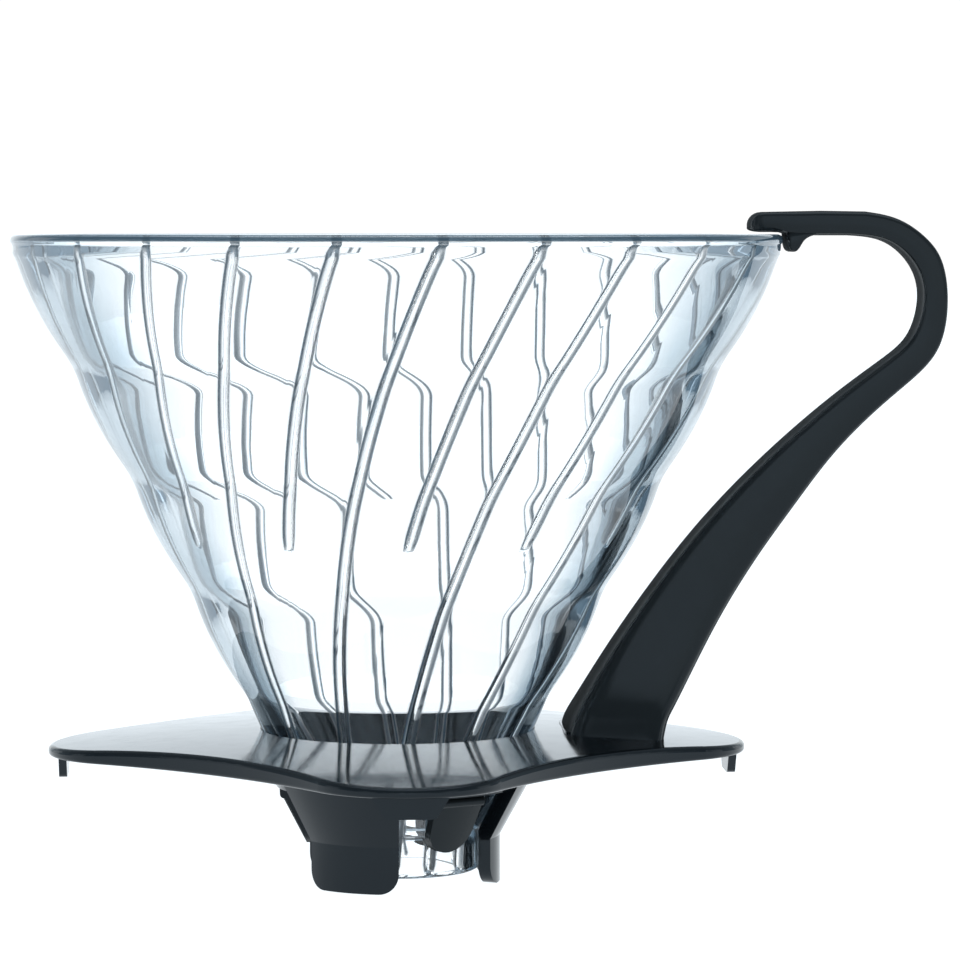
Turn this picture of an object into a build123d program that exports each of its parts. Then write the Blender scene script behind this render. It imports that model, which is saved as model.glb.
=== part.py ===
"""Glass pour over dripper: a ribbed glass cone held in a moulded plastic stand.

Frame: Z is the cone's axis. The handle is towards +X, in the plane Y = 0. The pieces are exported
with the base plate's flat underside, which rests on a cup's rim, at z = 0; in the drawing below it
is at PLATE_BOTTOM. Everything is in millimetres.
"""

import os
from math import atan2, cos, hypot, sin, sqrt

from build123d import *

# ---- Glass cone: outside ----
RIM_RADIUS = 57.5
RIM_TOP = 78.8
BEAD_RADIUS = 1.2  # rounding of the rim's edges
TIER_COUNT = 4  # the outside falls to the plate in arched tiers
TIER_PITCH = 16.65
TIER_STEP = 8.65  # radius lost in each tier
TIER_ARCH = 0.5  # how far each tier stands out of its chord
CREASE_ROUND = 3.0
FOOT_OF_TIERS = 9.3  # height and radius of the lowest crease
FOOT_RADIUS = 22.5
SEAT_TOP = 4.3  # height and radius where the plain seating cone starts
SEAT_RADIUS = 20.3
SHOULDER_RADIUS = 12.9  # the seating cone ends in a small ledge over the neck
SHOULDER_Z = -10.0
NECK_RADIUS = 12.2
NECK_BOTTOM = -16.4
MOUTH_ROUND = 0.6

# ---- Glass cone: inside ----
BORE_RADIUS = 9.9  # outlet
BORE_TOP = -9.0
INNER_RIM_RADIUS = 54.9
RIB_COUNT = 24  # long and short ribs by turns
RIB_TWIST = 0.435  # degrees of turn for each mm of height, going up
RIB_WIDTH = 1.8
RIB_PROUD = 0.8
RIB_ROOT = 0.9  # depth of a rib's root in the wall
RIB_SIDE = 75  # slope of a rib's flanks
RIB_TOP = 77.3
LONG_RIB_BOTTOM = -9.0
SHORT_RIB_BOTTOM = 34.4
RIB_SECTIONS = 6
RIB_PHASE = -85.5  # polar angle of the first long rib at its top

# ---- Base plate ----
LOBE_REACH = 52.3  # axis to the tip of each of the four lobes
LOBE_TIP_RADIUS = 15.0
WAIST_RADIUS = 38.3  # axis to the outline between two lobes
PLATE_CROWN = 5.2  # the top is a shallow dome: its height on the axis
PLATE_FALL = 3.2  # and how much lower it is at the glass's rim radius
PLATE_BOTTOM = 1.1
TOP_EDGE_ROUND = 0.8
BOTTOM_EDGE_ROUND = 0.5
SEAT_GAP = 0.1  # between the glass and its seat
COLLAR_WALL = 2.1
COLLAR_BOTTOM = -3.8
ROOT = 0.8  # how far added shapes run into the plate
LOBE_RIB_WALL = 1.2  # rib under each lobe tip
LOBE_RIB_LENGTH = 11.0
LOBE_RIB_BOTTOM = -2.0
LOBE_RIB_CORNER = 1.2
LOBE_RIB_SLOPE = 2.0  # how much shorter it is at each end of its lower edge
LOBE_RIB_RADIUS = 50.0
FOOT_COUNT = 3
FOOT_OUTER = 15.4  # the locating feet go inside a cup's mouth
FOOT_INNER = 13.4
FOOT_BOTTOM = -18.2
FOOT_KNEE = -11.2
FOOT_GUSSET = 22.6  # radius of the feet's gussets at the plate
FOOT_SWEEP = 57.0  # degrees of arc covered by each foot
FOOT_CORNER = 3.0

# ---- Snap claws, between the feet ----
CLAW_COUNT = 3
CLAW_FIRST = 60.0
CLAW_WALL = 1.4
CLAW_GAP = 0.7  # between a claw and the glass above its hook
CLAW_SWEEP = 36.0
HOOK_DROP = 0.3  # from the glass's shoulder down to the hook
CLAW_WIDTH = 8.4
CLAW_TIP_WIDTH = 7.4
CLAW_BOTTOM = -12.5
CLAW_HOOK_RADIUS = 12.55
FLEX_GAP = 0.15  # between a flexing piece's rounded root and what carries it

# ---- Handle and rim hook ----
HANDLE_THICKNESS = 8.6
HANDLE_ROUND = 1.6
BOSS_WIDTH = 16.0
HANDLE_FOOT = 4.8  # height of the boss that carries the handle
BOSS_DEPTH = 2.0
HANDLE_INNER_FOOT = 24.8
HANDLE_OUTER_FOOT = 39.5
LOOP_WALL = 4.0
FLEX_X, FLEX_Z = 80.6, 68.75  # centre of the loop's outermost section, where it flexes
BAR_TOP = 82.3
BAR_END = 52.7  # the bar reaches this far in over the rim
BAR_BEND = 70.1  # where the loop runs into the bar
RIM_GAP = 0.3  # under the bar
TOOTH_GAP = 0.6  # between the rim and the tooth
HOOK_TOOTH_BOTTOM = 76.2

seat_slope = (SEAT_RADIUS - SHOULDER_RADIUS) / (SEAT_TOP - SHOULDER_Z)
inner_slope = (INNER_RIM_RADIUS - BORE_RADIUS) / (RIM_TOP - BEAD_RADIUS - BORE_TOP)


def inner_radius(z):
    """Radius of the glass's inside at a height."""
    return max(BORE_RADIUS, BORE_RADIUS + inner_slope * (z - BORE_TOP))


def seat_radius(z):
    """Radius of the plain seating cone at a height."""
    return SEAT_RADIUS + seat_slope * (z - SEAT_TOP)


def radial_plane(turn):
    """The plane that holds the axis at a polar angle: its x is the radius, and its y is up."""
    return Plane((0, 0, 0), x_dir=Vector(1, 0).rotate(Axis.Z, turn), z_dir=Vector(0, -1).rotate(Axis.Z, turn))


def tier_crease(step):
    """Radius and height of a crease between tiers, counted up from the lowest."""
    return (FOOT_RADIUS + step * TIER_STEP, FOOT_OF_TIERS + step * TIER_PITCH)


def is_crease(vertex):
    """True for a corner of the profile, drawn as radius and height, where two tiers meet."""
    return any(hypot(vertex.X - r, vertex.Y - z) < 0.01 for r, z in map(tier_crease, range(TIER_COUNT)))


def arch(start, end, rise):
    """An arc from start to end that stands out of its chord, away from the axis."""
    dx, dz = end[0] - start[0], end[1] - start[1]
    chord = hypot(dx, dz)
    middle = ((start[0] + end[0]) / 2 + rise * dz / chord, (start[1] + end[1]) / 2 - rise * dx / chord)
    return ThreePointArc(start, middle, end)


# ---- Glass cone ----
with BuildPart() as glass_cone:
    with BuildSketch(Plane.XZ):
        with BuildLine():
            bead_foot = tier_crease(TIER_COUNT)
            outer_edge = (RIM_RADIUS, RIM_TOP - BEAD_RADIUS)
            crown = ((RIM_RADIUS + INNER_RIM_RADIUS) / 2, RIM_TOP)
            inner_edge = (INNER_RIM_RADIUS, RIM_TOP - BEAD_RADIUS)
            Polyline(
                (SEAT_RADIUS, SEAT_TOP),
                (SHOULDER_RADIUS, SHOULDER_Z),
                (NECK_RADIUS, SHOULDER_Z),
                (NECK_RADIUS, NECK_BOTTOM),
                (BORE_RADIUS, NECK_BOTTOM),
                (BORE_RADIUS, BORE_TOP),
                inner_edge,
            )
            ThreePointArc(inner_edge, crown, outer_edge)
            Line(outer_edge, bead_foot)
            for step in range(TIER_COUNT):
                arch(tier_crease(step), tier_crease(step + 1), TIER_ARCH)
            Line(tier_crease(0), (SEAT_RADIUS, SEAT_TOP))
        profile = make_face()
        creases = [v for v in profile.vertices() if is_crease(v)]
        fillet(creases, CREASE_ROUND)
    revolve(axis=Axis.Z)
    fillet(glass_cone.edges().group_by(Axis.Z)[0], MOUTH_ROUND)


def spiral_rib(bottom):
    """One rib as a solid that turns about the axis while it follows the glass's inside."""
    depth = RIB_PROUD + RIB_ROOT
    with BuildPart() as rib:
        for index in range(RIB_SECTIONS):
            z = bottom + (RIB_TOP - bottom) * index / (RIB_SECTIONS - 1)
            turn = RIB_PHASE + RIB_TWIST * (z - RIB_TOP)
            with BuildSketch(Plane.XY.offset(z)):
                with Locations(Location((0, 0, 0), (0, 0, turn))):
                    with Locations((inner_radius(z) + RIB_ROOT - depth / 2, 0)):
                        Trapezoid(RIB_WIDTH, depth, RIB_SIDE, rotation=90)
        loft()
    return rib.part


long_rib = spiral_rib(LONG_RIB_BOTTOM)
short_rib = spiral_rib(SHORT_RIB_BOTTOM)
with glass_cone:
    with PolarLocations(0, RIB_COUNT // 2):
        add(long_rib)
    with PolarLocations(0, RIB_COUNT // 2, start_angle=360 / RIB_COUNT):
        add(short_rib)

# ---- Locating foot ----
with BuildPart() as locating_foot:
    with BuildSketch(radial_plane(-FOOT_SWEEP / 2)):
        with BuildLine():
            Polyline(
                (FOOT_GUSSET, PLATE_BOTTOM + ROOT),
                (FOOT_OUTER, FOOT_KNEE),
                (FOOT_OUTER, FOOT_BOTTOM),
                (FOOT_INNER, FOOT_BOTTOM),
                (FOOT_INNER, SHOULDER_Z),
                (seat_radius(PLATE_BOTTOM + ROOT) + FOOT_INNER - SHOULDER_RADIUS, PLATE_BOTTOM + ROOT),
                close=True,
            )
        make_face()
    revolve(axis=Axis.Z, revolution_arc=FOOT_SWEEP)
    fillet(locating_foot.edges().group_by(Axis.Z)[0].filter_by(GeomType.LINE), FOOT_CORNER)

# ---- Lobe rib: keeps the plate centred on a wide rim ----
with BuildPart() as lobe_rib:
    with BuildSketch(Plane.YZ.offset(LOBE_RIB_RADIUS - LOBE_RIB_WALL / 2)):
        with BuildLine():
            half = LOBE_RIB_LENGTH / 2
            Polyline(
                (-half + LOBE_RIB_SLOPE, LOBE_RIB_BOTTOM),
                (-half, PLATE_BOTTOM),
                (-half, PLATE_BOTTOM + ROOT),
                (half, PLATE_BOTTOM + ROOT),
                (half, PLATE_BOTTOM),
                (half - LOBE_RIB_SLOPE, LOBE_RIB_BOTTOM),
                close=True,
            )
        rib_face = make_face()
        fillet(rib_face.vertices().group_by(Axis.Y)[0], LOBE_RIB_CORNER)
    extrude(amount=LOBE_RIB_WALL)

# ---- Base plate, with its seat collar, feet and lobe ribs ----
# The arcs between the lobes touch the tip arcs, and come in to the waist on the diagonals.
tip_centre = LOBE_REACH - LOBE_TIP_RADIUS
half_right = sqrt(0.5)
reach = WAIST_RADIUS - LOBE_TIP_RADIUS
diagonal = (tip_centre**2 - reach**2) / (2 * (tip_centre * half_right - reach))
tangent_turn = atan2(diagonal * half_right, diagonal * half_right - tip_centre)
lobe_side = Vector(tip_centre + LOBE_TIP_RADIUS * cos(tangent_turn), LOBE_TIP_RADIUS * sin(tangent_turn))
lobe_tip = Vector(LOBE_REACH, 0)
waist = Vector(WAIST_RADIUS * half_right, WAIST_RADIUS * half_right)

with BuildPart() as base_plate:
    with BuildSketch(Plane.XY.offset(PLATE_BOTTOM)):
        with BuildLine():
            for quarter in range(4):
                turn = 90 * quarter
                before = Vector(lobe_side.X, -lobe_side.Y).rotate(Axis.Z, turn)
                tip, side, between = (p.rotate(Axis.Z, turn) for p in (lobe_tip, lobe_side, waist))
                after = Vector(lobe_side.Y, lobe_side.X).rotate(Axis.Z, turn)
                ThreePointArc(before, tip, side)
                ThreePointArc(side, between, after)
        make_face()
    extrude(amount=PLATE_CROWN - PLATE_BOTTOM)
    with BuildSketch(Plane.XZ):
        with BuildLine():
            middle = (RIM_RADIUS / 2, PLATE_CROWN - PLATE_FALL / 4)
            edge = (RIM_RADIUS, PLATE_CROWN - PLATE_FALL)
            ThreePointArc((0, PLATE_CROWN), middle, edge)
            Polyline(edge, (RIM_RADIUS, PLATE_BOTTOM), (0, PLATE_BOTTOM), (0, PLATE_CROWN))
        make_face()
    revolve(axis=Axis.Z, mode=Mode.INTERSECT)
    top_edges = base_plate.faces().sort_by(Axis.Z)[-1].edges().filter_by(GeomType.LINE, reverse=True)
    fillet(top_edges, TOP_EDGE_ROUND)
    fillet(base_plate.edges().group_by(Axis.Z)[0], BOTTOM_EDGE_ROUND)
    with BuildSketch(Plane.XY.offset(HANDLE_FOOT - BOSS_DEPTH)):
        with Locations(((HANDLE_INNER_FOOT + HANDLE_OUTER_FOOT) / 2, 0)):
            RectangleRounded(HANDLE_OUTER_FOOT - HANDLE_INNER_FOOT, BOSS_WIDTH, HANDLE_ROUND)
    extrude(amount=BOSS_DEPTH)
    with BuildSketch(Plane.XZ):
        with BuildLine():
            collar_top = seat_radius(PLATE_BOTTOM) + SEAT_GAP
            collar_foot = seat_radius(COLLAR_BOTTOM) + SEAT_GAP
            Polyline(
                (collar_top - ROOT, PLATE_BOTTOM + ROOT),
                (collar_top + COLLAR_WALL, PLATE_BOTTOM + ROOT),
                (collar_foot + COLLAR_WALL, COLLAR_BOTTOM),
                (collar_foot - ROOT, COLLAR_BOTTOM),
                close=True,
            )
        make_face()
    revolve(axis=Axis.Z)
    with PolarLocations(0, FOOT_COUNT):
        add(locating_foot.part)
    with PolarLocations(0, 4):
        add(lobe_rib.part)
    with BuildSketch(Plane.XZ):
        with BuildLine():
            Polyline(
                (0, COLLAR_BOTTOM - ROOT),
                (seat_radius(COLLAR_BOTTOM - ROOT) + SEAT_GAP, COLLAR_BOTTOM - ROOT),
                (seat_radius(PLATE_CROWN) + SEAT_GAP, PLATE_CROWN),
                (0, PLATE_CROWN),
                close=True,
            )
        make_face()
    revolve(axis=Axis.Z, mode=Mode.SUBTRACT)

# ---- Snap claw: hooks under the glass's shoulder, and flexes outwards at its rounded root ----
root_z = COLLAR_BOTTOM - FLEX_GAP - CLAW_WALL / 2
root_radius = seat_radius(root_z) + CLAW_GAP + CLAW_WALL / 2
hook_z = SHOULDER_Z - HOOK_DROP

with BuildPart() as claw:
    with BuildSketch(radial_plane(-CLAW_SWEEP / 2)):
        with BuildLine():
            Polyline(
                (root_radius - CLAW_WALL / 2, root_z),
                (root_radius + CLAW_WALL / 2, root_z),
                (seat_radius(CLAW_BOTTOM) + CLAW_GAP + CLAW_WALL, CLAW_BOTTOM),
                (CLAW_HOOK_RADIUS, CLAW_BOTTOM),
                (CLAW_HOOK_RADIUS, hook_z),
                (seat_radius(hook_z) + CLAW_GAP, hook_z),
                close=True,
            )
        make_face()
    revolve(axis=Axis.Z, revolution_arc=CLAW_SWEEP)
    with BuildSketch(Plane.XZ):
        with Locations((root_radius, root_z)):
            Circle(CLAW_WALL / 2)
    extrude(amount=CLAW_WIDTH / 2, both=True)
    with BuildSketch(Plane.YZ):
        with BuildLine():
            shoulder = CLAW_BOTTOM + CLAW_TIP_WIDTH / 2
            Polyline(
                (-CLAW_TIP_WIDTH / 2, shoulder),
                (-CLAW_WIDTH / 2, root_z + CLAW_WALL),
                (CLAW_WIDTH / 2, root_z + CLAW_WALL),
                (CLAW_TIP_WIDTH / 2, shoulder),
            )
            ThreePointArc((CLAW_TIP_WIDTH / 2, shoulder), (0, CLAW_BOTTOM), (-CLAW_TIP_WIDTH / 2, shoulder))
        make_face()
    extrude(amount=RIM_RADIUS, mode=Mode.INTERSECT)

# ---- Handle: a fin that rises from the +X lobe and turns over into a loop ----
with BuildPart() as handle:
    with BuildSketch(Plane.XZ):
        with BuildLine():
            inner = Spline(
                (HANDLE_INNER_FOOT, HANDLE_FOOT),
                (33.7, 20.1),
                (44.7, 34.5),
                (59.0, 48.9),
                (72.5, 59.7),
                (FLEX_X - LOOP_WALL / 2, FLEX_Z),
                tangents=[(0.46, 0.89), (0, 1)],
            )
            outer = Spline(
                (HANDLE_OUTER_FOOT, HANDLE_FOOT),
                (47.4, 20.1),
                (56.6, 34.5),
                (68.0, 48.9),
                (79.5, 59.7),
                (FLEX_X + LOOP_WALL / 2, FLEX_Z),
                tangents=[(0.42, 0.91), (0, 1)],
            )
            Line(inner @ 0, outer @ 0)
            Line(inner @ 1, outer @ 1)
        make_face()
    extrude(amount=HANDLE_THICKNESS / 2, both=True)
    split(bisect_by=Plane.XY.offset(FLEX_Z - LOOP_WALL / 2 - FLEX_GAP), keep=Keep.BOTTOM)
    fillet(handle.edges().filter_by(GeomType.BSPLINE), HANDLE_ROUND)

# ---- Rim hook: the rest of the loop, the bar over the rim, and the tooth outside it ----
with BuildPart() as rim_hook:
    with BuildSketch(Plane.XZ):
        with BuildLine():
            bar_bottom = BAR_TOP - LOOP_WALL
            over_rim = RIM_TOP + RIM_GAP
            tooth = RIM_RADIUS + TOOTH_GAP
            outside = Spline(
                (FLEX_X + LOOP_WALL / 2, FLEX_Z),
                (79.6, 77.5),
                (BAR_BEND, BAR_TOP),
                tangents=[(0, 1), (-1, 0)],
            )
            inside = Spline(
                (FLEX_X - LOOP_WALL / 2, FLEX_Z),
                (76.2, 75.3),
                (BAR_BEND, bar_bottom),
                tangents=[(0, 1), (-1, 0)],
            )
            Polyline(
                outside @ 1,
                (BAR_END + 1, BAR_TOP),
                (BAR_END, BAR_TOP - 1),
                (BAR_END, over_rim),
                (tooth, over_rim),
                (tooth, HOOK_TOOTH_BOTTOM),
                (tooth + 1.2, HOOK_TOOTH_BOTTOM),
                (tooth + 2.7, bar_bottom),
                inside @ 1,
            )
            Line(outside @ 0, inside @ 0)
        make_face()
        with Locations((FLEX_X, FLEX_Z)):
            Circle(LOOP_WALL / 2)
    extrude(amount=HANDLE_THICKNESS / 2, both=True)

os.makedirs("parts", exist_ok=True)
to_frame = Location((0, 0, -PLATE_BOTTOM))
for name, piece in (
    ("glass_cone", glass_cone),
    ("base_plate", base_plate),
    ("handle", handle),
    ("rim_hook", rim_hook),
):
    piece.part.label = name
    export_step(piece.part.moved(to_frame), f"parts/{name}.step")

for number in range(CLAW_COUNT):
    with BuildPart() as snap_claw:
        with Locations(Location((0, 0, 0), (0, 0, CLAW_FIRST + 360 / CLAW_COUNT * number))):
            add(claw.part)
    snap_claw.part.label = f"snap_claw_{number + 1}"
    export_step(snap_claw.part.moved(to_frame), f"parts/{snap_claw.part.label}.step")
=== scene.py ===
"""Looks for the pour over dripper: a clear ribbed glass cone in a glossy black plastic stand.

The pieces' dimensions are in millimetres, and their points are turned into metres as each mesh is
made. The studio and the camera's place are in metres.
"""

import math

import bpy
import numpy as np
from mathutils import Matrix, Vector


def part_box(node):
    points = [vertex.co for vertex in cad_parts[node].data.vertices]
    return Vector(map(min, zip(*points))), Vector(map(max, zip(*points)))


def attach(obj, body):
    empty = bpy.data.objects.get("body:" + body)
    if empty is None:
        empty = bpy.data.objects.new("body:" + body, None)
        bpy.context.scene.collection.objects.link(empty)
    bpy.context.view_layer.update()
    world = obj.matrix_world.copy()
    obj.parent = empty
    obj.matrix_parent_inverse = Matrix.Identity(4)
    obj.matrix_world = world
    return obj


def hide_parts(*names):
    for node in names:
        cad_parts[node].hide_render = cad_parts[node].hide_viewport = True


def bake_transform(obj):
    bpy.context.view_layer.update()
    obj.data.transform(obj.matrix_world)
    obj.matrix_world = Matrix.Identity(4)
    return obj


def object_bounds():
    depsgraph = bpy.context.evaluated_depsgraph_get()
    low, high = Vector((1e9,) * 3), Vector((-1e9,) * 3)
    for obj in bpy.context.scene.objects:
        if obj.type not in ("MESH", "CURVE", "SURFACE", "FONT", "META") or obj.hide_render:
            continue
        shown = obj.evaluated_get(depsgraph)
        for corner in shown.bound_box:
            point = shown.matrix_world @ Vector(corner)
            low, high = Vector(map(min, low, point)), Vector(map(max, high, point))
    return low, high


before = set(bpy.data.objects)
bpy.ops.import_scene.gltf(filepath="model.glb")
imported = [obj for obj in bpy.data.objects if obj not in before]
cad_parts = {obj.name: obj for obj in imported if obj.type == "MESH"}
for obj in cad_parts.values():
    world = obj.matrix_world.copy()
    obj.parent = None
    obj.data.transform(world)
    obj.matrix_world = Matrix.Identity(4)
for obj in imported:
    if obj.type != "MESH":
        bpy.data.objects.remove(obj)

cad_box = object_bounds()
MM = 0.001
DATUM = Vector((0, 0, 1.1))  # the frame's origin, on the plate's underside, as the dimensions have it

# ---------------------------------------------------------------- glass cone: dimensions (mm)
glass_low, glass_high = (Vector(corner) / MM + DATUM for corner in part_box("glass_cone"))
RIM_TOP = glass_high.z
RIM_INSET = 0.02  # keeps the rim inside the CAD model's
RIM_RADIUS = glass_high.x - RIM_INSET
NECK_BOTTOM = glass_low.z
WALL = 2.6  # at the rim
BEAD_RADIUS = 0.85
BEAD_TURN = math.radians(140)  # the arc of the rim's bead, from its crown outwards and down
INNER_RIM_RADIUS = RIM_RADIUS - WALL
TIER_PITCH = 16.65
SLOPE_TOP, SLOPE_FOOT = 0.27, 0.77  # fall of the radius with height, at the top and foot of a tier
CREASE_BLEND = 5.6
CREASE_Z, CREASE_RADIUS = 9.3, 22.5  # the lowest crease, under four tiers
TIERS = 4
TIER_TOP = CREASE_Z + TIERS * TIER_PITCH
TIER_TOP_RADIUS = CREASE_RADIUS + TIERS * TIER_PITCH * (SLOPE_TOP + SLOPE_FOOT) / 2
BAND_HIGH, BAND_LOW = 0.05, 0.02  # how far the plain band under the bead stands out from the top tier
BAND_FOOT = 0.5  # and how high over that tier it ends
SEAT_Z, SEAT_RADIUS = 4.3, 20.3
SHOULDER_Z, SHOULDER_RADIUS = -10.0, 12.9
SHOULDER_RISE, SHOULDER_OUT, SHOULDER_IN = 0.2, 0.08, 0.1  # how its edge is broken
NECK_RADIUS = 12.2
NECK_CORNER = 0.15  # where the neck meets the shoulder
BORE_RADIUS, BORE_TOP = 9.9, -9.0
LIP = 0.6  # rounding of the neck's mouth
BEAD_PAINTED_SHADE_LOW, BEAD_PAINTED_SHADE_HIGH = RIM_TOP - 0.95, RIM_TOP - 0.25  # the band of painted shade round the bead

RIB_COUNT = 24
RIB_TWIST = 0.435  # degrees per mm of height
RIB_PHASE = -85.24  # degrees, at the ribs' top
RIB_TOP = 78.5
RIB_WIDTH = 1.8
RIB_HEIGHT = 0.7
RIB_CROWN = 0.15  # rounding of a rib's top, as a share of its half width
LONG_RIB_BOTTOM, SHORT_RIB_BOTTOM = NECK_BOTTOM + LIP, 34.4
RIB_END = 1.3  # the ribs' height grows from nothing over this length
RIB_NECK = 1.2  # the ribs hang from the rim by narrow necks of this length
RIB_SWELL = 1.3  # and grow from them to their full section over this length
RIB_TAIL = 2.2  # the short ribs narrow over this length at their foot
NECK_FADE = 0.3  # the necks run out towards the rim over this length
NECK_WIDTH, NECK_HEIGHT, TAIL_WIDTH = 0.75, 0.6, 0.75  # shares of a rib's full section

# ---------------------------------------------------------------- glass cone: mesh density
BEAD_ROWS, LIP_ROWS, MOUTH_ROWS, CROWN_ROWS = 12, 5, 4, 7  # of the glass's four rounded edges
TIER_STEP, TIER_KEEP = 0.05, 9  # the tiers are worked out at this step (mm), and every ninth row is kept
BLEND_SAMPLES = 41
INNER_ROWS, END_ROWS, SWELL_ROWS = 150, 11, 16  # up the whole inside, at each rib end, and at the necks
BORE_TOP_ROWS = (-0.4, 0.0, 0.4)  # mm, over and under the top of the bore
LEAST_ROW_GAP = 0.12  # mm
GAP_STATIONS = 6  # columns between one rib and the next
# Columns from just past a rib's side (-1) to its middle (0), and then across the whole rib.
HALF_RIB = (-1.35, -1.1, -1.0, -0.9, -0.78, -0.62, -0.44, -0.22, 0.0)
RIB_STATIONS = np.concatenate([HALF_RIB, -np.array(HALF_RIB)[-2::-1]])
# Where painted shade darkens a rib across its width: a narrow line along one side, a broad band on the
# other.
PAINTED_SHADE_PLACES = (-1.15, -1.0, -0.72, -0.5, 0.25, 0.5, 0.95, 1.15)
PAINTED_SHADE_SHARES = (0.0, 1.0, 0.95, 0.0, 0.0, 0.8, 0.9, 0.0)
NECK_PAINTED_SHADE_REACH = 1.05  # and painted shade darkens the necks all over


def inner_radius(z):
    slope = (INNER_RIM_RADIUS - BORE_RADIUS) / (RIM_TOP - BEAD_RADIUS - BORE_TOP)
    return np.maximum(BORE_RADIUS, BORE_RADIUS + slope * (z - BORE_TOP))


def tier_slope(down):
    """How fast the radius falls with height, at a share of the way down a tier."""
    return SLOPE_TOP + (SLOPE_FOOT - SLOPE_TOP) * (down % 1.0)


def tier_rows():
    """(radius, z) down the tiers: the slope is averaged over CREASE_BLEND, which rounds the creases."""
    z = np.arange(TIER_TOP, CREASE_Z - 3 * TIER_STEP, -TIER_STEP)
    share = np.linspace(-0.5, 0.5, BLEND_SAMPLES)
    down = (TIER_TOP - z[:, None] - (share * CREASE_BLEND)[None, :]) / TIER_PITCH
    weights = np.cos(share * math.pi)
    slope = (tier_slope(down) * weights).sum(1) / weights.sum()
    radius = TIER_TOP_RADIUS - np.concatenate([[0], np.cumsum(slope[:-1] * TIER_STEP)])
    return [(radius[i], z[i]) for i in range(0, len(z), TIER_KEEP)]


def outer_profile():
    """(radius, z) down the outside of the glass, from the crown of the rim to the neck's mouth."""
    points = []
    for a in np.linspace(0, BEAD_TURN, BEAD_ROWS):
        radius = RIM_RADIUS - BEAD_RADIUS * (1 - math.sin(a))
        points.append((radius, RIM_TOP - BEAD_RADIUS * (1 - math.cos(a))))
    points.append((TIER_TOP_RADIUS + BAND_HIGH, RIM_TOP - 2 * BEAD_RADIUS))
    points.append((TIER_TOP_RADIUS + BAND_LOW, TIER_TOP + BAND_FOOT))
    points += tier_rows()
    points += [
        (SEAT_RADIUS, SEAT_Z),
        ((SEAT_RADIUS + SHOULDER_RADIUS) / 2, (SEAT_Z + SHOULDER_Z) / 2),
        (SHOULDER_RADIUS + SHOULDER_OUT, SHOULDER_Z + SHOULDER_RISE),
        (SHOULDER_RADIUS - SHOULDER_IN, SHOULDER_Z),
        (NECK_RADIUS + NECK_CORNER, SHOULDER_Z),
        (NECK_RADIUS, SHOULDER_Z - NECK_CORNER),
        (NECK_RADIUS, (SHOULDER_Z + NECK_BOTTOM) / 2),
    ]
    for a in np.linspace(0, math.pi / 2, LIP_ROWS):
        points.append((NECK_RADIUS - LIP + LIP * math.cos(a), NECK_BOTTOM + LIP - LIP * math.sin(a)))
    return points


def inner_rows():
    """z of each row up the inside, closer together where the ribs start, swell and end."""
    low, high = NECK_BOTTOM + LIP, RIM_TOP - BEAD_RADIUS
    rows = list(np.linspace(low, high, INNER_ROWS))
    for end in (LONG_RIB_BOTTOM, SHORT_RIB_BOTTOM, RIB_TOP):
        rows += list(end + np.linspace(-RIB_END, RIB_END, END_ROWS))
    rows += list(np.linspace(RIB_TOP - RIB_NECK - RIB_SWELL, RIB_TOP, SWELL_ROWS))
    rows += [BORE_TOP + up for up in BORE_TOP_ROWS]
    rows = sorted(z for z in rows if low <= z <= high)
    kept = [rows[0]]
    for z in rows[1:]:
        if z - kept[-1] > LEAST_ROW_GAP:
            kept.append(z)
    kept[-1] = high
    return kept


def rib_section(s):
    """Height of a rib across its width, from its middle (0) to its sides (1)."""
    flank = np.hypot(np.clip(s, -1, 1), RIB_CROWN)
    side = math.hypot(1, RIB_CROWN)
    return (side - flank) / (side - RIB_CROWN)


def rib_size(z, bottom, tail):
    """Share of a rib's full width and height at a place along its length, and of the painted shade on
    its neck.
    """
    up = np.clip((z - bottom) / RIB_END, 0, 1)
    thin = np.clip((z - bottom) / tail, 0, 1)
    swell = np.clip((RIB_TOP - RIB_NECK - z) / RIB_SWELL, 0, 1)
    swell = swell * swell * (3 - 2 * swell)
    neck = np.clip((RIB_TOP - z) / NECK_FADE, 0, 1)
    width = (NECK_WIDTH + (1 - NECK_WIDTH) * swell) * (TAIL_WIDTH + (1 - TAIL_WIDTH) * thin)
    height = (NECK_HEIGHT + (1 - NECK_HEIGHT) * swell) * np.sqrt(neck) * np.sqrt(1 - (1 - up) ** 2)
    return float(width), float(height), float(neck * (1 - swell))


def columns(z):
    """Angle (radians), rib height (mm) and share of painted shade (0 to 1) of every column at height z.
    """
    radius = float(inner_radius(z))
    pitch = 2 * math.pi / RIB_COUNT
    turn = math.radians(RIB_PHASE + RIB_TWIST * (z - RIB_TOP))
    # Long and short ribs by turns.
    sizes = [rib_size(z, LONG_RIB_BOTTOM, RIB_END), rib_size(z, SHORT_RIB_BOTTOM, RIB_TAIL)]
    halves = [width * RIB_WIDTH / 2 / radius for width, _, _ in sizes]
    reach = RIB_STATIONS[-1]
    # Painted shade along the ribs' sides and over their necks.
    sides = np.interp(RIB_STATIONS, PAINTED_SHADE_PLACES, PAINTED_SHADE_SHARES)
    all_over = np.abs(RIB_STATIONS) < NECK_PAINTED_SHADE_REACH
    angles, heights, edges = [], [], []
    for rib in range(RIB_COUNT):
        half, (_, tall, dark) = halves[rib % 2], sizes[rib % 2]
        centre = turn + rib * pitch
        angles += list(centre + half * RIB_STATIONS)
        heights += list(tall * RIB_HEIGHT * rib_section(RIB_STATIONS))
        edges += list(np.maximum(tall * sides, dark * all_over))
        next_rib = pitch - reach * halves[(rib + 1) % 2]
        angles += list(centre + np.linspace(reach * half, next_rib, GAP_STATIONS + 2)[1:-1])
        heights += [0.0] * GAP_STATIONS
        edges += [0.0] * GAP_STATIONS
    return np.array(angles), np.array(heights), np.array(edges)


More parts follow.
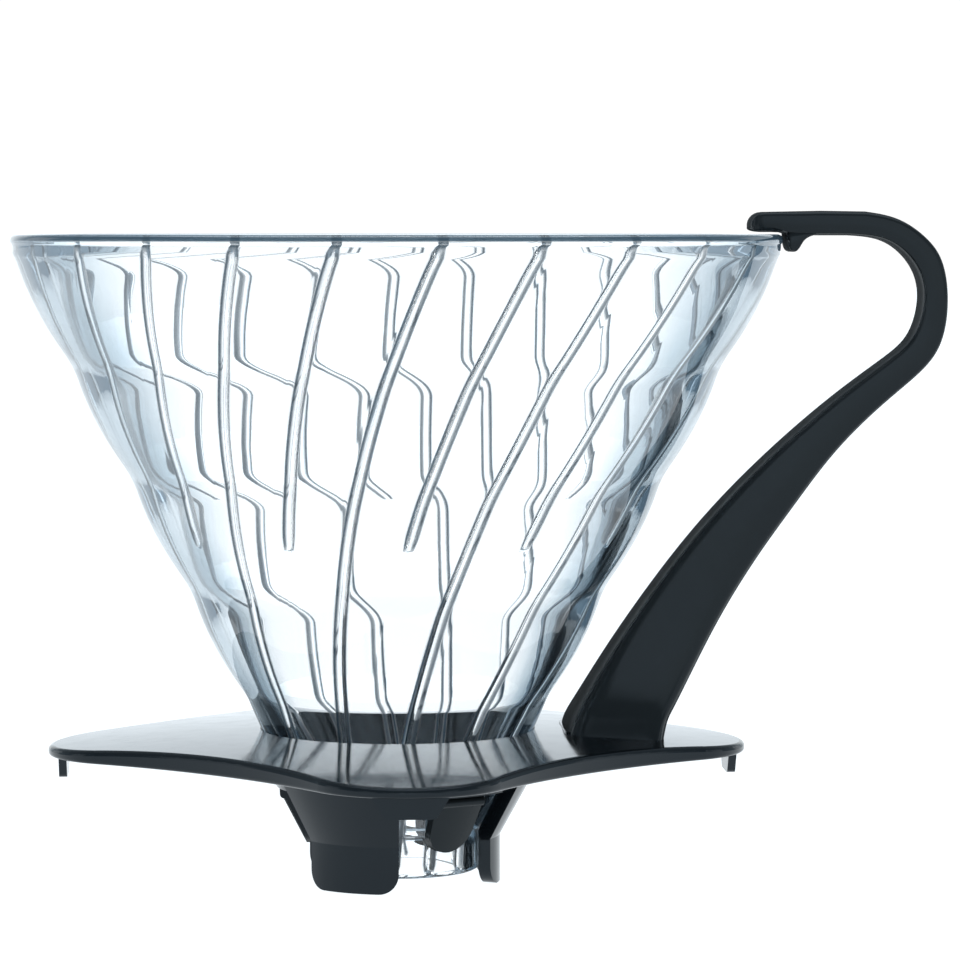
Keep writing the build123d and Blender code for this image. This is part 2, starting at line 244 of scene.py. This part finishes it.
def glass_row(radius, z, edge=None):
    """One ring of points, and each point's share of painted shade; ribs stand in from it where edge is
    None.
    """
    angles, heights, edges = columns(z)
    if edge is None:
        radius = radius - heights
    else:
        edges = np.full_like(angles, edge)
    ring = np.stack([radius * np.cos(angles), radius * np.sin(angles), np.full_like(angles, z)], 1)
    return ring, edges


def glass_rows():
    """Every ring of the glass: down the outside, round the mouth, up the inside and over the rim."""
    rows = []
    for radius, z in outer_profile():
        # Painted shade round the bead.
        dark = BEAD_PAINTED_SHADE_LOW < z < BEAD_PAINTED_SHADE_HIGH
        rows.append(glass_row(radius, z, 1.0 if dark else 0.0))
    for a in np.linspace(0, math.pi / 2, MOUTH_ROWS)[:-1]:
        radius = BORE_RADIUS + LIP - LIP * math.sin(a)
        rows.append(glass_row(radius, NECK_BOTTOM + LIP - LIP * math.cos(a), 0.0))
    rows += [glass_row(float(inner_radius(z)), z) for z in inner_rows()]
    for a in np.linspace(0, math.pi / 2, CROWN_ROWS)[1:]:
        radius = INNER_RIM_RADIUS + BEAD_RADIUS * (1 - math.cos(a))
        rows.append(glass_row(radius, RIM_TOP - BEAD_RADIUS * (1 - math.sin(a)), 0.0))
    return rows


def make_mesh(name, vertices, faces, smooth=True):
    mesh = bpy.data.meshes.new(name)
    mesh.from_pydata([tuple(v) for v in vertices], [], faces)
    mesh.validate()
    mesh.update()
    if smooth:
        mesh.shade_smooth()
    piece = bpy.data.objects.new(name, mesh)
    bpy.context.scene.collection.objects.link(piece)
    return piece


def in_frame(points):
    """Points in millimetres, as the dimensions have them, as points of the frame in metres."""
    return (np.array(points) - np.array(DATUM)) * MM


def glass_piece():
    rows = glass_rows()
    count = len(rows[0][0])
    faces = []
    for i in range(len(rows)):
        j = (i + 1) % len(rows)
        for k in range(count):
            m = (k + 1) % count
            faces.append((i * count + k, j * count + k, j * count + m, i * count + m))
    piece = make_mesh("glass_body", in_frame(np.concatenate([ring for ring, _ in rows])), faces)
    # The edge attribute holds the painted shade on the ribs' sides, their necks and round the bead.
    edge = piece.data.attributes.new("edge", "FLOAT", "POINT")
    edge.data.foreach_set("value", np.concatenate([edges for _, edges in rows]))
    return piece


# ---------------------------------------------------------------- handle, loop and rim hook
# Sections up the fin and round the loop: inner x and z, outer x and z, half thickness (mm).
FIN_AND_LOOP = (
    (25.3, 2.6, 39.5, 2.6, 11.0),
    (25.0, 4.6, 39.9, 4.4, 9.8),
    (25.6, 6.6, 40.5, 6.4, 8.7),
    (27.2, 9.4, 41.9, 9.0, 7.6),
    (31.4, 16.2, 45.3, 15.6, 6.3),
    (36.5, 23.7, 49.3, 23.0, 5.6),
    (42.6, 31.8, 54.3, 30.9, 5.2),
    (49.7, 39.9, 59.7, 38.4, 4.9),
    (58.1, 48.0, 65.9, 46.4, 4.6),
    (66.7, 55.2, 72.9, 53.3, 4.3),
    (73.6, 60.3, 78.4, 58.05, 4.1),
    (77.2, 63.9, 81.6, 62.6, 4.0),
    (78.6, 68.75, 82.55, 68.75, 4.0),
    (77.9, 73.0, 81.8, 74.3, 4.0),
    (75.5, 76.2, 79.5, 78.0, 4.0),
    (72.1, 78.05, 75.2, 81.0, 4.0),
    (67.6, 78.6, 70.1, 82.2, 4.0),
)
# The bar's underside from the loop to its end: x and z (mm).
BAR_UNDERSIDE = ((63.4, 78.6), (60.0, 78.6), (58.6, 78.7), (57.4, 79.05), (56.2, 79.1))
BAR_TOP, BAR_FALL = 82.3, 0.02  # the top's height at the loop, and its slope down towards the end
BAR_HALF = 4.0  # half thickness
BAR_END, BAR_END_ROUND = 52.7, 2.0
BAR_END_RISE, BAR_END_NARROWS = 0.5, 2.0  # what the rounded end takes off below and at each side
# Level sections of the tooth outside the rim, going down: inner and outer x, z, half thickness (mm).
TOOTH = (
    (57.9, 64.6, 79.6, 3.6),
    (57.95, 63.2, 78.9, 3.8),
    (58.0, 61.9, 78.5, 3.9),
    (58.05, 61.0, 78.0, 3.95),
    (58.15, 60.5, 77.4, 3.95),
    (58.3, 60.2, 76.9, 3.9),
    (58.5, 59.9, 76.5, 3.75),
    (58.8, 59.6, 76.25, 3.4),
    (59.1, 59.3, 76.15, 2.8),
)
FACE_POWER, EDGE_POWER = 9.0, 3.4  # of the superellipse sections: flat faces and crowned edges
RING_STEPS = 56
HANDLE_STEPS, TOOTH_STEPS = 7, 3  # samples from one section to the next
BAR_END_SECTIONS = 8
SHARP_ANGLE = math.radians(50)  # edges sharper than this aren't shaded smooth


def smooth_rows(rows, steps):
    """Rows of numbers joined by a natural cubic spline, with `steps` samples from each to the next."""
    rows = np.array(rows, float)
    count = len(rows)
    matrix = np.eye(count)
    right_side = np.zeros_like(rows)
    for i in range(1, count - 1):
        matrix[i, i - 1 : i + 2] = (1, 4, 1)
        right_side[i] = 6 * (rows[i + 1] - 2 * rows[i] + rows[i - 1])
    bend = np.linalg.solve(matrix, right_side)
    out = []
    for i in range(count - 1):
        for t in np.arange(steps) / steps:
            u = 1 - t
            curve = ((u**3 - u) * bend[i] + (t**3 - t) * bend[i + 1]) / 6
            out.append(u * rows[i] + t * rows[i + 1] + curve)
    return out + [rows[-1]]


def section_ring(inner_x, inner_z, outer_x, outer_z, half):
    """A superellipse from the inner to the outer point, and half thick to each side in Y."""
    inner, outer = np.array((inner_x, 0, inner_z)), np.array((outer_x, 0, outer_z))
    middle, reach, side = (inner + outer) / 2, (outer - inner) / 2, np.array((0, half, 0))
    ring = []
    for angle in (np.arange(RING_STEPS) + 0.5) * 2 * math.pi / RING_STEPS:
        along = math.copysign(abs(math.cos(angle)) ** (2 / FACE_POWER), math.cos(angle))
        across = math.copysign(abs(math.sin(angle)) ** (2 / EDGE_POWER), math.sin(angle))
        ring.append(middle + reach * along + side * across)
    return ring


def bar_top(x):
    return BAR_TOP - BAR_FALL * (BAR_UNDERSIDE[0][0] - x)


def bar_sections():
    """Upright sections along the bar, from the loop to the rounded end."""
    sections = [(x, z, x, bar_top(x), BAR_HALF) for x, z in BAR_UNDERSIDE]
    over_rim = BAR_UNDERSIDE[-1][1]
    for turn in np.linspace(0, math.pi / 2, BAR_END_SECTIONS):
        x = BAR_END + BAR_END_ROUND * (1 - math.sin(turn))
        fall = 1 - math.cos(turn)
        top = bar_top(x) - BAR_END_ROUND * fall
        sections.append((x, over_rim + BAR_END_RISE * fall, x, top, BAR_HALF - BAR_END_NARROWS * fall))
    return sections


def swept_piece(name, rings):
    """A closed mesh through rings of points, with flat ends."""
    count = len(rings[0])
    last = (len(rings) - 1) * count
    faces = [tuple(range(count - 1, -1, -1)), tuple(last + k for k in range(count))]
    for i in range(len(rings) - 1):
        for k in range(count):
            m = (k + 1) % count
            faces.append((i * count + k, i * count + m, (i + 1) * count + m, (i + 1) * count + k))
    piece = make_mesh(name, in_frame([point for ring in rings for point in ring]), faces)
    piece.data.set_sharp_from_angle(angle=SHARP_ANGLE)
    return piece


def handle_piece():
    sections = smooth_rows(FIN_AND_LOOP, HANDLE_STEPS) + bar_sections()
    return swept_piece("handle_body", [section_ring(*section) for section in sections])


def tooth_piece():
    rows = smooth_rows(TOOTH, TOOTH_STEPS)
    rings = [section_ring(inner, z, outer, z, half) for inner, outer, z, half in rows]
    return swept_piece("hook_tooth", rings)


# ---------------------------------------------------------------- node helpers


def new_material(name):
    material = bpy.data.materials.new(name)
    material.use_nodes = True
    nodes = material.node_tree.nodes
    return material, nodes, material.node_tree.links, nodes["Principled BSDF"]


def feed(links, value, socket):
    """Set a socket to a number or colour, or link an output to it."""
    if isinstance(value, (int, float, tuple)):
        socket.default_value = value
    else:
        links.new(value, socket)


def math_node(nodes, links, operation, *inputs):
    node = nodes.new("ShaderNodeMath")
    node.operation = operation
    for socket, value in zip(node.inputs, inputs):
        feed(links, value, socket)
    return node.outputs[0]


def map_range(nodes, links, value, source, target=(0.0, 1.0), kind="LINEAR"):
    """A value spread from the source range over the target range, and held at its ends."""
    node = nodes.new("ShaderNodeMapRange")
    node.interpolation_type = kind
    for name, limit in zip(("From Min", "From Max", "To Min", "To Max"), source + target):
        node.inputs[name].default_value = limit
    links.new(value, node.inputs["Value"])
    return node.outputs["Result"]


def blend_colours(nodes, links, share, low, high):
    """Mix of two colours or colour outputs."""
    node = nodes.new("ShaderNodeMixRGB")
    for name, value in (("Fac", share), ("Color1", low), ("Color2", high)):
        feed(links, value, node.inputs[name])
    return node.outputs["Color"]


def colour_ramp(nodes, links, value, first, last, *between):
    """Colour by value, from stops of (place, colour)."""
    ramp = nodes.new("ShaderNodeValToRGB")
    elements = ramp.color_ramp.elements
    for element, (place, colour) in zip(elements, (first, last)):
        element.position = place
        element.color = colour
    for place, colour in between:
        elements.new(place).color = colour
    links.new(value, ramp.inputs["Fac"])
    return ramp.outputs["Color"]


def noise(nodes, links, scale, detail=2.0):
    """Noise fixed to the object, at `scale` features to the metre."""
    coordinates = nodes.new("ShaderNodeTexCoord")
    texture = nodes.new("ShaderNodeTexNoise")
    texture.inputs["Scale"].default_value = scale
    texture.inputs["Detail"].default_value = detail
    links.new(coordinates.outputs["Object"], texture.inputs["Vector"])
    return texture.outputs["Fac"]


def facing(nodes):
    """0 where a surface faces the ray that meets it, and 1 where it lies edge-on."""
    weight = nodes.new("ShaderNodeLayerWeight")
    weight.inputs["Blend"].default_value = 0.5
    return weight.outputs["Facing"]


def bump(nodes, links, shader, height, distance):
    """Relief of `distance` metres from a height map."""
    node = nodes.new("ShaderNodeBump")
    node.inputs["Strength"].default_value = 1.0
    node.inputs["Distance"].default_value = distance
    links.new(height, node.inputs["Height"])
    links.new(node.outputs["Normal"], shader.inputs["Normal"])


# ---------------------------------------------------------------- materials
NOISE_RANGE = (0.3, 0.7)  # nearly all of a noise lies in it
RIPPLE = 0.00001  # m, the relief of the glass and of the moulding

GLASS_IOR = 1.47
GLASS_HAZE, GLASS_HAZE_SCALE = (0.0, 0.01), 90.0  # roughness
GLASS_RIPPLE_SCALE = 70.0
# Painted shade: clear where light meets the glass squarely, shading to steel blue where it runs along a
# surface.
GLASS_CLEAR = (0.42, (0.99, 0.994, 0.997, 1))
GLASS_GRAZING_PAINTED_SHADE = (0.97, (0.1, 0.165, 0.22, 1))
GLASS_PAINTED_SHADE_STEPS = ((0.55, (0.52, 0.61, 0.67, 1)), (0.68, (0.25, 0.33, 0.39, 1)))
# Painted shade: dark steel blue on the ribs' sides, their necks and the bead.
PAINTED_EDGE_SHADE = (0.046, 0.084, 0.118, 1)
PAINTED_SHADE_CLEARNESS = (1.0, 0.2)  # share of the light that goes through, from clear glass to full painted shade
TRAPPED_LIGHT = (0.11, 0.155, 0.195, 1)
LAST_REFLECTION = 3.5  # the renderer follows four reflections

PLASTIC_IOR = 1.4
PLASTIC_TINT = (0.74, 0.88, 1.0, 1)
COLOUR_NOISE, ROUGHNESS_NOISE, RIPPLE_NOISE = (60.0, 4.0), (250.0, 4.0), (350.0, 3.0)  # scale, detail
GLOSS_COLOURS = ((0.0024, 0.0036, 0.0048, 1), (0.0036, 0.0050, 0.0064, 1))
SATIN_COLOURS = ((0.0092, 0.0112, 0.0122, 1), (0.0108, 0.0130, 0.0140, 1))
GLOSS_ROUGHNESS = (0.06, 0.14)
SATIN_EDGE_ON, SATIN_DULLING = (0.5, 0.85), (0.0, 0.75)  # satin loses its gloss where it lies edge-on
SATIN_SPECULAR = 0.3


def glass_material():
    """Clear pressed glass, very slightly wavy, with painted steel-blue shade where light runs along a
    surface and on the ribs' sides, their necks and the bead.
    """
    material, nodes, links, shader = new_material("clear_glass")
    shader.inputs["IOR"].default_value = GLASS_IOR
    body = colour_ramp(nodes, links, facing(nodes), GLASS_CLEAR, GLASS_GRAZING_PAINTED_SHADE, *GLASS_PAINTED_SHADE_STEPS)
    # Painted shade: the edge attribute darkens the glass to steel blue and lets less light through.
    attribute = nodes.new("ShaderNodeAttribute")
    attribute.attribute_name = "edge"
    edge = attribute.outputs["Fac"]
    links.new(blend_colours(nodes, links, edge, body, PAINTED_EDGE_SHADE), shader.inputs["Base Color"])
    clearness = map_range(nodes, links, edge, (0.0, 1.0), PAINTED_SHADE_CLEARNESS)
    links.new(clearness, shader.inputs["Transmission Weight"])
    haze = map_range(nodes, links, noise(nodes, links, GLASS_HAZE_SCALE), NOISE_RANGE, GLASS_HAZE)
    links.new(haze, shader.inputs["Roughness"])
    bump(nodes, links, shader, noise(nodes, links, GLASS_RIPPLE_SCALE), RIPPLE)
    # Light still trapped in the wall after its last reflection comes out as steel blue, not black.
    path = nodes.new("ShaderNodeLightPath")
    trapped = math_node(nodes, links, "GREATER_THAN", path.outputs["Glossy Depth"], LAST_REFLECTION)
    links.new(trapped, shader.inputs["Emission Strength"])
    shader.inputs["Emission Color"].default_value = TRAPPED_LIGHT
    material.cycles.emission_sampling = "NONE"
    return material


def plastic_material(name, colours, satin):
    """Blue-black polypropylene with the faint ripple of a moulding: glossy, or satin edge-on."""
    material, nodes, links, shader = new_material(name)
    shader.inputs["IOR"].default_value = PLASTIC_IOR
    shader.inputs["Specular Tint"].default_value = PLASTIC_TINT
    low, high = zip(NOISE_RANGE, colours)
    body = colour_ramp(nodes, links, noise(nodes, links, *COLOUR_NOISE), low, high)
    links.new(body, shader.inputs["Base Color"])
    mottle = noise(nodes, links, *ROUGHNESS_NOISE)
    roughness = map_range(nodes, links, mottle, NOISE_RANGE, GLOSS_ROUGHNESS)
    if satin:
        dulling = map_range(nodes, links, facing(nodes), SATIN_EDGE_ON, SATIN_DULLING)
        roughness = math_node(nodes, links, "ADD", roughness, dulling)
        shader.inputs["Specular IOR Level"].default_value = SATIN_SPECULAR
    links.new(roughness, shader.inputs["Roughness"])
    bump(nodes, links, shader, noise(nodes, links, *RIPPLE_NOISE), RIPPLE)
    return material


# ---------------------------------------------------------------- pieces in the frame
glass_look = glass_material()
gloss_look = plastic_material("gloss_plastic", GLOSS_COLOURS, satin=False)
satin_look = plastic_material("satin_plastic", SATIN_COLOURS, satin=True)

glass = glass_piece()
glass.data.materials.append(glass_look)
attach(glass, "glass")
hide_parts("glass_cone")

handle = handle_piece()
tooth = tooth_piece()
for piece in (handle, tooth):
    piece.data.materials.append(satin_look)
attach(tooth, "hook")
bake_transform(handle)
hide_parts("handle", "rim_hook")

for node in ("base_plate", "snap_claw_1", "snap_claw_2", "snap_claw_3"):
    for material_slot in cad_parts[node].material_slots:
        material_slot.material = gloss_look if node == "base_plate" else satin_look

# ---------------------------------------------------------------- studio
FLOOR = 6.0  # half width, m
FLOOR_COLOUR, FLOOR_ROUGHNESS = (0.1, 0.1, 0.1, 1), 0.9
FLOOR_LIGHT = (1.0, 1.06, 1.1, 1)

# Eight tall soft lights stand round the table, one behind each side and corner, with steel-blue
# gaps between them, which glow beside the back and the front light. Over them it is steel blue up
# to a soft light overhead.
LAMPS = 8.0
GAP = (0.4, 0.5, 0.57, 1)
GLOW = (1.22, 1.3, 1.34, 1)
HIGH_GAP = (0.34, 0.41, 0.46, 1)
SIDE_LIGHT = (0.94, 1.02, 1.07, 1)
LIGHT = (1.35, 1.47, 1.56, 1)
BACK_AND_FRONT = (0.78, 0.97)  # share of a direction along Y where the brighter lights stand
LAMP_EDGE = (0.5, 0.78)  # of the wave round the table that a lamp fills
LAMP_TOPS, OVERHEAD_EDGE = (0.28, 0.42), (0.74, 0.9)  # share of a direction along Z
BACKDROP, BACKDROP_STRENGTH = (1, 1, 1, 1), 1.05


def lay_floor():
    low = cad_box[0].z
    corners = [(-FLOOR, -FLOOR, low), (FLOOR, -FLOOR, low), (FLOOR, FLOOR, low), (-FLOOR, FLOOR, low)]
    floor = make_mesh("floor", corners, [(0, 1, 2, 3)], smooth=False)
    look, _, _, shader = new_material("white_floor")
    shader.inputs["Base Color"].default_value = FLOOR_COLOUR
    shader.inputs["Roughness"].default_value = FLOOR_ROUGHNESS
    shader.inputs["Emission Color"].default_value = FLOOR_LIGHT
    shader.inputs["Emission Strength"].default_value = 1.0
    floor.data.materials.append(look)


def light_studio():
    world = bpy.data.worlds.new("studio")
    bpy.context.scene.world = world
    world.use_nodes = True
    nodes, links = world.node_tree.nodes, world.node_tree.links
    coordinates = nodes.new("ShaderNodeTexCoord")
    direction = nodes.new("ShaderNodeSeparateXYZ")
    links.new(coordinates.outputs["Generated"], direction.inputs[0])
    x, y, z = (direction.outputs[axis] for axis in "XYZ")

    heading = math_node(nodes, links, "ARCTAN2", y, x)
    wave = math_node(nodes, links, "COSINE", math_node(nodes, links, "MULTIPLY", heading, LAMPS))
    lit = math_node(nodes, links, "MULTIPLY_ADD", wave, 0.5, 0.5)
    along_y = math_node(nodes, links, "ABSOLUTE", y)
    near_y = map_range(nodes, links, along_y, BACK_AND_FRONT, kind="SMOOTHSTEP")
    in_lamp = map_range(nodes, links, lit, LAMP_EDGE, kind="SMOOTHSTEP")
    overhead = map_range(nodes, links, z, OVERHEAD_EDGE, kind="SMOOTHSTEP")
    over_lamps = map_range(nodes, links, z, LAMP_TOPS, kind="SMOOTHSTEP")

    gaps = blend_colours(nodes, links, near_y, GAP, GLOW)
    lamps = blend_colours(nodes, links, near_y, SIDE_LIGHT, LIGHT)
    ring = blend_colours(nodes, links, in_lamp, gaps, lamps)
    top = blend_colours(nodes, links, overhead, HIGH_GAP, LIGHT)
    around = nodes["Background"]
    links.new(blend_colours(nodes, links, over_lamps, ring, top), around.inputs["Color"])

    # The backdrop itself is plain white.
    plain = nodes.new("ShaderNodeBackground")
    plain.inputs["Strength"].default_value = BACKDROP_STRENGTH
    plain.inputs["Color"].default_value = BACKDROP
    light_path = nodes.new("ShaderNodeLightPath")
    mix = nodes.new("ShaderNodeMixShader")
    links.new(light_path.outputs["Is Camera Ray"], mix.inputs["Fac"])
    links.new(around.outputs[0], mix.inputs[1])
    links.new(plain.outputs[0], mix.inputs[2])
    links.new(mix.outputs[0], nodes["World Output"].inputs["Surface"])
    bpy.context.scene.view_settings.view_transform = "Standard"


# ---------------------------------------------------------------- camera
AZIMUTH = math.radians(-2.0)
DISTANCE = 0.618
EYE_HEIGHT = 0.0789
SENSOR, FOCAL_LENGTH = 36.0, 154.9  # mm
AIM_RIGHT, AIM_HEIGHT = 0.01238, 0.0409  # the point aimed at, right of the cone's axis and up


def set_camera():
    data = bpy.data.cameras.new("camera")
    data.sensor_width = SENSOR
    data.lens = FOCAL_LENGTH
    camera = bpy.data.objects.new("camera", data)
    bpy.context.scene.collection.objects.link(camera)
    camera.location = (DISTANCE * math.sin(AZIMUTH), -DISTANCE * math.cos(AZIMUTH), EYE_HEIGHT)
    right = Vector((math.cos(AZIMUTH), math.sin(AZIMUTH), 0))
    target = right * AIM_RIGHT + Vector((0, 0, AIM_HEIGHT))
    camera.rotation_mode = "QUATERNION"
    camera.rotation_quaternion = (target - camera.location).to_track_quat("-Z", "Y")
    bpy.context.scene.camera = camera


lay_floor()
light_studio()
set_camera()
